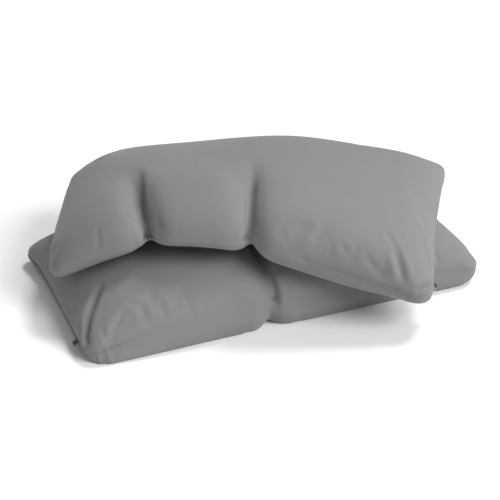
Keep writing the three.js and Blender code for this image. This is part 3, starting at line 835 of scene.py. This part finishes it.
# Woven cloths: thread pitch and weave height in millimetres
wovenLooks = {
    "ticking": {"dark": (0.7, 0.69, 0.66), "light": (0.82, 0.81, 0.79), "pitch": 0.7, "gloss": 0.2,
                "height": 0.06, "flat": True},
    "careCloth": {"dark": (0.8, 0.8, 0.8), "light": (0.88, 0.88, 0.88), "pitch": 0.4, "gloss": 0.4,
                  "height": 0.02, "flat": False},
    "tapeCloth": {"dark": (0.17, 0.17, 0.17), "light": (0.24, 0.24, 0.24), "pitch": 0.9, "gloss": 0.2,
                  "height": 0.1, "flat": False},
}


def wovenMaterial(name):
    look = wovenLooks[name]
    material, shader, place = newMaterial(name, {"Specular IOR Level": look["gloss"]})
    pattern = readPattern(material) if look["flat"] else place * (1 / mm, 1 / mm, 1 / mm)
    twist = 2 * math.pi / look["pitch"]
    warp = (pattern.axis(0) * twist).sin()
    weft = ((pattern.axis(1) + pattern.axis(2) * 0.7) * twist).sin()
    weave = warp * weft
    drift = place.noise(24.0, 4.0)
    feed(shader, "Base Color", (weave * 0.2 + drift * 0.8).between(look["dark"], look["light"]))
    feed(shader, "Roughness", drift * 0.15 + 0.7)
    bump(shader, weave * look["height"] + drift * 0.6)
    return material


fibreLook = {
    "constants": {"Specular IOR Level": 0.2, "Sheen Weight": 0.3},
    "dark": (0.72, 0.71, 0.68),
    "light": (0.93, 0.93, 0.91),
    "clumpHeight": 4.0,
    "strandHeight": 0.8,
}


def fibreMaterial():
    material, shader, place = newMaterial("fibre", fibreLook["constants"])
    clumps = place.noise(45.0, 6.0, 0.7)
    strands = (place * (1.0, 3.0, 6.0)).noise(260.0, 4.0, 0.75)
    feed(shader, "Base Color", (clumps * 0.6 + strands * 0.4).between(fibreLook["dark"], fibreLook["light"]))
    feed(shader, "Roughness", strands * 0.1 + 0.85)
    bump(shader, clumps * fibreLook["clumpHeight"] + strands * fibreLook["strandHeight"])
    return material


ribbonLoop = {
    "width": 15.0,
    "length": 11.0,
    "inside": 4.0,
    "cloth": 0.35,
    "gap": 0.3,
    "bendRun": 5.0,
    "stations": 16,
    "straightSteps": 12,
    "turnSteps": 7,
}
# The ribbon's pattern runs along the loop and across its width. Its edges are woven lighter
ribbonLook = {
    "constants": {"Specular IOR Level": 0.35, "Sheen Weight": 0.15},
    "dark": (0.022, 0.03, 0.085),
    "light": (0.035, 0.045, 0.12),
    "edge": (0.33, 0.32, 0.42),
    "edgeFrom": 6.2,  # millimetres from the middle
    "edgeSharpness": 3.0,
    "rib": 15.0,
    "pick": 22.0,
}


def ribbonMaterial():
    look = ribbonLook
    material, shader, _ = newMaterial("ribbon", look["constants"])
    pattern = readPattern(material)
    ribs = (pattern.axis(0) * look["rib"]).sin()
    picks = (pattern.axis(1) * look["pick"]).sin()
    fromMiddle = (pattern.axis(1) - ribbonLoop["width"] / 2).abs()
    edge = (fromMiddle - look["edgeFrom"]) * look["edgeSharpness"]
    edge = edge.node("ShaderNodeClamp", Value=edge)
    body = (ribs * 0.2 + 0.5).between(look["dark"], look["light"])
    feed(shader, "Base Color", edge.between(body, look["edge"]))
    feed(shader, "Roughness", picks * 0.06 + 0.62)
    bump(shader, ribs * 0.05 + picks * 0.03)
    return material


nickelLook = {
    "constants": {"Metallic": 1.0, "Specular IOR Level": 0.5},
    "dark": (0.5, 0.49, 0.47),
    "light": (0.62, 0.61, 0.59),
    "roughness": 0.2,
}


def nickelMaterial():
    material, shader, place = newMaterial("nickel", nickelLook["constants"])
    drift = place.noise(180.0, 3.0)
    brushing = (place * (1.0, 8.0, 1.0)).noise(900.0, 3.0)
    feed(shader, "Base Color", drift.between(nickelLook["dark"], nickelLook["light"]))
    feed(shader, "Roughness", brushing * 0.18 + nickelLook["roughness"])
    bump(shader, drift * 0.03)
    return material


nylonLook = {
    "constants": {"Specular IOR Level": 0.5, "Coat Weight": 0.1},
    "dark": (0.17, 0.17, 0.172),
    "light": (0.215, 0.215, 0.22),
    "roughness": 0.3,
}


def nylonMaterial():
    material, shader, place = newMaterial("nylon", nylonLook["constants"])
    drift = place.noise(300.0, 3.0)
    feed(shader, "Base Color", drift.between(nylonLook["dark"], nylonLook["light"]))
    feed(shader, "Roughness", drift * 0.12 + nylonLook["roughness"])
    bump(shader, drift * 0.02)
    return material


threadLook = {
    "constants": {"Specular IOR Level": 0.3, "Sheen Weight": 0.2},
    "dark": (0.2, 0.2, 0.2),
    "light": (0.3, 0.3, 0.3),
    "twist": (9000.0, 9000.0, 6000.0),  # angle per metre along each axis
}


def threadMaterial():
    material, shader, place = newMaterial("thread", threadLook["constants"])
    alongX, alongY, alongZ = threadLook["twist"]
    twist = (place.axis(0) * alongX + place.axis(1) * alongY + place.axis(2) * alongZ).sin()
    feed(shader, "Base Color", (twist * 0.25 + 0.5).between(threadLook["dark"], threadLook["light"]))
    feed(shader, "Roughness", twist * 0.08 + 0.65)
    bump(shader, twist * 0.04)
    return material


# A geometry tree with named inputs: lists of (name, socket type), then a function that adds its nodes
def geometryTree(name, inputs, build):
    tree = bpy.data.node_groups.new(name, "GeometryNodeTree")
    tree.interface.new_socket("Geometry", in_out="INPUT", socket_type="NodeSocketGeometry")
    for socketName, kind in inputs:
        tree.interface.new_socket(socketName, in_out="INPUT", socket_type=kind)
    tree.interface.new_socket("Geometry", in_out="OUTPUT", socket_type="NodeSocketGeometry")
    entry = tree.nodes.new("NodeGroupInput")
    leave = tree.nodes.new("NodeGroupOutput")
    build(tree, entry, leave)
    return tree


# The last nodes of every tree: smooth shading, then the material
def paintAndLeave(tree, entry, leave, socket):
    rounded = tree.nodes.new("GeometryNodeSetShadeSmooth")
    paint = tree.nodes.new("GeometryNodeSetMaterial")
    tree.links.new(socket, rounded.inputs["Geometry"])
    tree.links.new(rounded.outputs["Geometry"], paint.inputs["Geometry"])
    tree.links.new(entry.outputs["Material"], paint.inputs["Material"])
    tree.links.new(paint.outputs["Geometry"], leave.inputs["Geometry"])


def addRepeats(tree, entry, leave):
    put = tree.nodes.new("GeometryNodeInstanceOnPoints")
    info = tree.nodes.new("GeometryNodeObjectInfo")
    turn = tree.nodes.new("GeometryNodeInputNamedAttribute")
    turn.data_type = "FLOAT_VECTOR"
    turn.inputs["Name"].default_value = "turn"
    rotation = tree.nodes.new("FunctionNodeEulerToRotation")
    realize = tree.nodes.new("GeometryNodeRealizeInstances")
    link = tree.links.new
    link(entry.outputs["Geometry"], put.inputs["Points"])
    link(entry.outputs["Shape"], info.inputs["Object"])
    link(info.outputs["Geometry"], put.inputs["Instance"])
    link(turn.outputs[0], rotation.inputs["Euler"])
    link(rotation.outputs[0], put.inputs["Rotation"])
    link(put.outputs["Instances"], realize.inputs["Geometry"])
    paintAndLeave(tree, entry, leave, realize.outputs["Geometry"])


def addCord(tree, entry, leave):
    toCurve = tree.nodes.new("GeometryNodeMeshToCurve")
    profile = tree.nodes.new("GeometryNodeCurvePrimitiveCircle")
    toMesh = tree.nodes.new("GeometryNodeCurveToMesh")
    link = tree.links.new
    link(entry.outputs["Geometry"], toCurve.inputs["Mesh"])
    link(entry.outputs["Radius"], profile.inputs["Radius"])
    link(entry.outputs["Sides"], profile.inputs["Resolution"])
    link(toCurve.outputs["Curve"], toMesh.inputs["Curve"])
    link(profile.outputs["Curve"], toMesh.inputs["Profile Curve"])
    paintAndLeave(tree, entry, leave, toMesh.outputs["Mesh"])


def growNow(obj, tree, values):
    modifier = obj.modifiers.new("grow", "NODES")
    modifier.node_group = tree
    for item in tree.interface.items_tree:
        if item.in_out == "INPUT" and item.name in values:
            modifier[item.identifier] = values[item.name]
    bpy.context.view_layer.update()
    grown = obj.evaluated_get(bpy.context.evaluated_depsgraph_get())
    mesh = bpy.data.meshes.new_from_object(grown)
    obj.modifiers.remove(modifier)
    obj.data = mesh


def repeatShape(name, tree, points, frames, shape, material):
    obj = meshObject(name, points, [])
    addVectors(obj, "turn", [Matrix(np.stack(axes, 1).tolist()).to_euler() for axes in frames])
    growNow(obj, tree, {"Shape": shape, "Material": material})
    return obj


rodTurn = (0.0, 0.13, 0.99)  # the rod's sides are turned to this
rodEnd = 0.45  # share of the radius at a rod's two ends


# A rod through the given points, as one small closed mesh to repeat
def rodShape(name, line, radius, sides, closed=False):
    line = np.array(line, float)
    count = len(line)
    points, faces = [], []
    for k in range(count):
        if closed:
            run = unit(line[(k + 1) % count] - line[k - 1])
        else:
            run = unit(line[min(k + 1, count - 1)] - line[max(k - 1, 0)])
        side = unit(np.cross(run, rodTurn))
        up = np.cross(side, run)
        thin = 1.0 if closed or 0 < k < count - 1 else rodEnd
        for n in range(sides):
            angle = 2 * math.pi * n / sides
            points.append(line[k] + (side * math.cos(angle) + up * math.sin(angle)) * radius * thin)
    for k in range(count if closed else count - 1):
        for n in range(sides):
            here, there = k * sides, (k + 1) % count * sides
            faces.append((here + n, here + (n + 1) % sides, there + (n + 1) % sides, there + n))
    if not closed:
        faces.append(tuple(range(sides))[::-1])
        faces.append(tuple(range((count - 1) * sides, count * sides)))
    return meshObject(name, points, faces)


def lengthsAlong(line):
    return np.concatenate([[0], np.cumsum(np.linalg.norm(np.diff(line, axis=0), axis=1))])


def sampled(at, positions, vectors):
    return np.stack([np.interp(at, positions, vectors[:, n]) for n in range(3)], -1)


# Points a fixed pitch apart along a line, with the line's direction at each
def spaced(line, pitch):
    lengths = lengthsAlong(line)
    at = np.arange(pitch / 2, lengths[-1], pitch)
    ahead = sampled(np.minimum(at + 0.5, lengths[-1]), lengths, line)
    runs = ahead - sampled(np.maximum(at - 0.5, 0), lengths, line)
    return sampled(at, lengths, line), runs / np.linalg.norm(runs, axis=1, keepdims=True)


def finishPiece(obj, pillow, replaced=()):
    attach(obj, pillow["body"])
    if replaced:
        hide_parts(*[pillow["name"] + "_" + name for name in replaced])
    return obj


addStudio()
print("studio ready")

jersey = knitMaterial("jersey")
ticking = wovenMaterial("ticking")
careCloth = wovenMaterial("careCloth")
tapeCloth = wovenMaterial("tapeCloth")
fibre = fibreMaterial()
ribbon = ribbonMaterial()
nickel = nickelMaterial()
nylon = nylonMaterial()
thread = threadMaterial()
print("materials ready")


# The seam where a crease meets the front edge
def nearCrease(pillow, skin):
    x = skin["a"] * pillow["length"] / 2
    near = np.zeros(x.shape, bool)
    for crease in pillow["creases"]:
        near |= np.abs(x - crease["along"]) < settling["creaseHold"]
    return near & skin["closed"] & (skin["b"] < 0)


# The cover, kept above the floor height given for its underside
def makeCover(pillow, floor):
    skin = coverSkin(pillow)
    cover = meshObject(pillow["name"] + "_cover", skin["points"], skin["faces"], jersey)
    underLift = liftsAt(pillow, skin["a"], skin["b"])[0]
    held = np.concatenate([
        skin["rim"],
        skin["top"][skin["zipRow"]],
        skin["under"][skin["zipRow"]],
        skin["under"][underLift > settling["contact"]],
        skin["top"][nearCrease(pillow, skin)],
    ])
    settleCloth(cover, np.unique(held))
    for fold in pillow["folds"]:
        pressFold(cover, skin, fold)
    puckerSeam(cover, skin, pillow)
    drawSeam(cover, skin)
    points = pointsOf(cover)
    under = np.unique(skin["under"])
    points[under, 2] = np.maximum(points[under, 2], floor(points[under, 0], points[under, 1]))
    movePoints(cover, points)
    addPattern(cover, skin)
    return cover, skin


def levelFloor(x, y):
    return np.zeros_like(x)


prepareSupport(lowerPillow, levelFloor)
lowerCover, lowerSkin = makeCover(lowerPillow, levelFloor)
lowerHeights = heightsOver(lowerCover)
prepareSupport(upperPillow, drapedSupport(*lowerHeights))
upperCover, upperSkin = makeCover(upperPillow, fieldOf(*lowerHeights))
pillows = ((lowerPillow, lowerCover, lowerSkin), (upperPillow, upperCover, upperSkin))
print("covers ready")

repeats = geometryTree(
    "repeats",
    [("Shape", "NodeSocketObject"), ("Material", "NodeSocketMaterial")],
    addRepeats,
)
cords = geometryTree(
    "cords",
    [("Radius", "NodeSocketFloat"), ("Sides", "NodeSocketInt"), ("Material", "NodeSocketMaterial")],
    addCord,
)

# The inner pillow, its filling and its corded edge, each a little inside the last
innerPillow = {
    "cellsAlong": 96,
    "cellsAcross": 52,
    "inset": 16.0,
    "drop": 11.0,
    "clearance": 3.0,
    "fill": 0.7,
}
innerFilling = {
    "cellsAlong": 72,
    "cellsAcross": 40,
    "inset": 22.0,
    "drop": 16.0,
    "lumps": 2.5,
    "lumpWaves": [(0.09, 0.05, 0.02), (-0.06, 0.1, 0.05), (0.13, -0.12, 0.03)],
    "clearance": 6.0,
    "fill": 0.6,
}
innerCord = {"inset": 14.0, "radius": 1.0, "sides": 8, "stepsPerSide": 90}


def innerLayer(name, pillow, shape, material):
    a, b = skinGrid(shape["cellsAlong"], shape["cellsAcross"])
    skin = skinFaces(gridEdge(a))
    layers = [layerPoints(pillow, a, b, side, shape["inset"], shape["drop"], 0.0) for side in (1, -1)]
    points = np.concatenate([layer.reshape(-1, 3) for layer in layers])[skin["used"]]
    obj = meshObject(pillow["name"] + "_" + name, points, skin["faces"], material)
    if "lumps" in shape:
        waves = sum(np.sin(points @ np.array(wave)) for wave in shape["lumpWaves"])
        rise = waves * shape["lumps"] / len(shape["lumpWaves"]) - shape["lumps"]
        movePoints(obj, points + normalsOf(obj) * rise[:, None])
    addPattern(obj, skin)
    return obj


# Keeps inner pieces clear of the inside of the cover
def keepInside(obj, cover, clearance):
    tree = BVHTree.FromObject(cover, bpy.context.evaluated_depsgraph_get())
    points = pointsOf(obj)
    for k, point in enumerate(points):
        near, normal = tree.find_nearest(Vector(point * mm))[:2]
        depth = (near - Vector(point * mm)).dot(normal) / mm
        if depth < clearance:
            points[k] = point - np.array(normal) * (clearance - depth)
    movePoints(obj, points)


# Places round the edge, the same count along each side
def ringPlaces(count):
    step = np.linspace(-1, 1, count, endpoint=False)
    one = np.ones(count)
    return np.concatenate([step, one, -step, -one]), np.concatenate([-one, step, one, -step])


def innerEdgeCord(pillow):
    a, b = ringPlaces(innerCord["stepsPerSide"])
    points = layerPoints(pillow, a, b, 1, innerCord["inset"], 0, 0.0)
    ring = [(k, (k + 1) % len(points)) for k in range(len(points))]
    obj = meshObject(pillow["name"] + "_cord", points, [], edges=ring)
    values = {"Radius": innerCord["radius"] * mm, "Sides": innerCord["sides"], "Material": ticking}
    growNow(obj, cords, values)
    return obj


# The overlocked seam allowance inside the cover, and the thread looped over its edge
allowance = {
    "from": 2.6,
    "to": 9.0,
    "thickness": 1.0,
    "stepsPerSide": 110,
    "pitch": 2.6,
    "threadRadius": 0.22,
    "threadLoop": [
        (-0.4, -3.6, 0.75), (0, 0, 0.8), (0.1, 0.45, 0), (0.3, 0, -0.8), (0.6, -3.6, -0.75), (0.6, -3.9, 0),
    ],
}


def seamAllowance(pillow):
    a, b = ringPlaces(allowance["stepsPerSide"])
    keep = halfGapAt(pillow, a, b) < coverShape["seamGap"]
    start = int(np.nonzero(~keep)[0][-1]) + 1
    order = [(start + k) % len(a) for k in range(len(a)) if keep[(start + k) % len(a)]]
    a, b = a[order], b[order]
    near, far = allowance["from"], allowance["to"]
    rings = [
        layerPoints(pillow, a, b, side, inset, 0, allowance["thickness"])
        for side, inset in ((1, near), (1, far), (-1, far), (-1, near))
    ]
    count = len(a)
    points = np.stack(rings, 1).reshape(-1, 3)
    faces = [(k * 4 + n, (k + 1) * 4 + n, (k + 1) * 4 + (n + 1) % 4, k * 4 + (n + 1) % 4)
             for k in range(count - 1) for n in range(4)]
    faces += [(0, 1, 2, 3), tuple(range((count - 1) * 4, count * 4))[::-1]]
    band = meshObject(pillow["name"] + "_allowance", points, faces, jersey)
    inner = (rings[1] + rings[2]) / 2
    across = rings[1] - rings[2]
    places, runs = spaced(inner, allowance["pitch"])
    upAt = sampled(np.linspace(0, 1, len(places)), np.linspace(0, 1, count), across)
    frames = []
    for run, up in zip(runs, upAt):
        side = unit(np.cross(up, run))
        frames.append((run, side, unit(np.cross(run, side))))
    return band, places, frames


# Sewing beside the zip
topStitch = {"pitch": 3.2, "length": 2.4, "radius": 0.3, "rise": 0.25, "bow": 0.028, "lift": 0.1, "rowIn": 2}


def topStitches(pillow, cover, skin, shape):
    step = -1 if skin["zipRow"] == -1 else 1
    row = (skin["zipRow"] % skin["a"].shape[0]) + step * topStitch["rowIn"]
    stations = np.nonzero(~skin["closed"][skin["zipRow"]])[0]
    points, normals = pointsOf(cover), normalsOf(cover)
    places, frames = [], []
    for grid in (skin["top"], skin["under"]):
        ids = grid[row, stations]
        at, runs = spaced(points[ids], topStitch["pitch"])
        nearest = np.linalg.norm(points[ids][None] - at[:, None], axis=2).argmin(1)
        for place, run, normal in zip(at, runs, normals[ids[nearest]]):
            side = unit(np.cross(normal, run))
            places.append(place + normal * topStitch["lift"])
            frames.append((run, side, unit(np.cross(run, side))))
    return repeatShape(pillow["name"] + "_topstitch", repeats, places, frames, shape, thread)


# Zip teeth: loops of nylon wire along each tape's edge
coilShape = {"pitch": 1.6, "wire": 0.3, "sides": 6, "reachIn": 0.5, "headLength": 0.8, "halfHeel": 0.35}


def zipTeeth(pillow):
    centre, out, across = zipFrame(pillow)
    along = np.cross(across, out)
    for half, side in (("top", 1), ("bottom", -1)):
        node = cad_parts[pillow["name"] + "_zip_coil_" + half]
        world = np.array([node.matrix_world @ v.co for v in node.data.vertices]) / mm
        local = np.stack([(world - centre) @ axis for axis in (along, across, out)], -1)
        low, high = local.min(0), local.max(0)
        tip, heel = (low[1], high[1])[::side]
        tip -= side * coilShape["reachIn"]
        neck, wide = tip + side * coilShape["headLength"], coilShape["halfHeel"]
        middle, deep = (low[2] + high[2]) / 2, (high[2] - low[2]) / 2 - coilShape["wire"]
        loop = [
            (-wide, heel, -deep), (-0.1, neck, -deep), (0, tip, -deep / 2), (0, tip, deep / 2),
            (0.1, neck, deep), (wide, heel, deep), (wide + 0.1, heel + side * 0.2, 0),
        ]
        shape = rodShape("tooth", loop, coilShape["wire"], coilShape["sides"], True)
        first = low[0] + (coilShape["pitch"] / 2 if side > 0 else coilShape["pitch"])
        stations = np.arange(first, high[0] - coilShape["pitch"] / 2, coilShape["pitch"])
        places = [centre + along * s + out * middle for s in stations]
        frames = [(along, across, out)] * len(places)
        teeth = repeatShape(pillow["name"] + "_teeth_" + half, repeats, places, frames, shape, nylon)
        bpy.data.objects.remove(shape)
        finishPiece(teeth, pillow, ["zip_coil_" + half])


# The folded ribbon in the seam


# Outline of the folded ribbon seen from its side, as (out, up), and how far along the ribbon each point is
def ribbonOutline():
    half = ribbonLoop["gap"] / 2 + ribbonLoop["cloth"] / 2
    length = ribbonLoop["length"]
    straight = np.linspace(-ribbonLoop["inside"], length, ribbonLoop["straightSteps"])
    turn = np.linspace(math.pi / 2, -math.pi / 2, ribbonLoop["turnSteps"])[1:-1]
    path = [(s, half) for s in straight]
    path += [(length + half * math.cos(t), half * math.sin(t)) for t in turn]
    path += [(s, -half) for s in straight[::-1]]
    path = np.array(path)
    run = np.gradient(path, axis=0)
    run /= np.linalg.norm(run, axis=1, keepdims=True)
    side = np.stack([-run[:, 1], run[:, 0]], -1) * ribbonLoop["cloth"] / 2
    steps = np.arange(len(path))
    return np.concatenate([path + side, (path - side)[::-1]]), np.concatenate([steps, steps[::-1]]) * 1.0


def ribbonFaces(count, sides):
    faces = []
    for k in range(count - 1):
        for n in range(sides):
            after = (n + 1) % sides
            faces.append((k * sides + n, k * sides + after, (k + 1) * sides + after, (k + 1) * sides + n))
    for base, step in ((0, 1), ((count - 1) * sides, -1)):
        for n in range(sides // 2 - 1):
            face = (base + n, base + sides - 1 - n, base + sides - 2 - n, base + n + 1)
            faces.append(face[::step])
    return faces


def ribbonLabel(pillow, cover, skin):
    ids = skin["top"][0 if pillow["zipEnd"] > 0 else -1]
    points, normals = pointsOf(cover), normalsOf(cover)
    lengths = lengthsAlong(points[ids])
    centre, half = pillow["ribbonFrom"], ribbonLoop["width"] / 2
    span = np.linspace(centre - half, centre + half, ribbonLoop["stations"])
    at = sampled(span, lengths, points[ids])
    along = unit(at[-1] - at[0])
    outward = unit(normals[ids[np.searchsorted(lengths, centre)]])
    outward = unit(outward - along * (outward @ along))
    across = np.cross(along, outward)
    across = across if across[2] > 0 else -across
    outline, flat = ribbonOutline()
    out, up = outline[:, 0], outline[:, 1]
    share = smooth(out / ribbonLoop["bendRun"]) + np.clip(out / ribbonLoop["length"], 0, 1)
    angle = math.radians(pillow["ribbonDroop"]) * share / 2
    bentOut = (out * np.cos(angle) - up * np.sin(angle))[:, None]
    bentUp = (out * np.sin(angle) + up * np.cos(angle))[:, None]
    rings, pattern = [], []
    for k, base in enumerate(at):
        rings.append(base + outward * bentOut + across * bentUp)
        v = ribbonLoop["width"] * k / (len(at) - 1)
        pattern.append(np.stack([flat, np.full(len(flat), v), np.zeros(len(flat))], -1))
    faces = ribbonFaces(len(at), len(outline))
    obj = meshObject(pillow["name"] + "_ribbon", np.concatenate(rings), faces, ribbon)
    addVectors(obj, "pattern", np.concatenate(pattern))
    return finishPiece(obj, pillow, ["loop_label"])


stitchLine = [
    (k * topStitch["length"] / 6, 0, topStitch["rise"] - topStitch["bow"] * k * k) for k in range(-3, 4)
]
stitch = rodShape("stitch", stitchLine, topStitch["radius"], 6)
overlock = rodShape("overlock", allowance["threadLoop"], allowance["threadRadius"], 5, True)
for pillow, cover, skin in pillows:
    zipTeeth(pillow)
    ribbonLabel(pillow, cover, skin)
    finishPiece(topStitches(pillow, cover, skin, stitch), pillow)
    band, places, frames = seamAllowance(pillow)
    finishPiece(band, pillow, ["cover_seam"])
    loops = repeatShape(pillow["name"] + "_overlock", repeats, places, frames, overlock, thread)
    finishPiece(loops, pillow)
    inner = innerLayer("inner", pillow, innerPillow, ticking)
    keepInside(inner, cover, innerPillow["clearance"])
    finishPiece(inner, pillow, ["insert_top", "insert_bottom"])
    filling = innerLayer("filling", pillow, innerFilling, fibre)
    keepInside(filling, cover, innerFilling["clearance"])
    finishPiece(filling, pillow, ["fibre_fill"])
    finishPiece(innerEdgeCord(pillow), pillow, ["insert_piping"])
    modifier = cover.modifiers.new("fine", "SUBSURF")
    modifier.levels = modifier.render_levels = 1
    finishPiece(cover, pillow, ["cover_top", "cover_bottom"])
for shape in (stitch, overlock):
    bpy.data.objects.remove(shape)
print("pieces ready")

# The nodes carried over keep their shape and get their materials
carried = {
    "zip_tape_top": tapeCloth,
    "zip_tape_bottom": tapeCloth,
    "zip_slider": nickel,
    "zip_pull": nickel,
    "zip_stop_closed": nickel,
    "zip_stop_open": nickel,
    "care_label": careCloth,
}
for pillow in (lowerPillow, upperPillow):
    for name, material in carried.items():
        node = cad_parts[pillow["name"] + "_" + name]
        for slotted in node.material_slots:
            slotted.material = material
print("carried nodes ready")
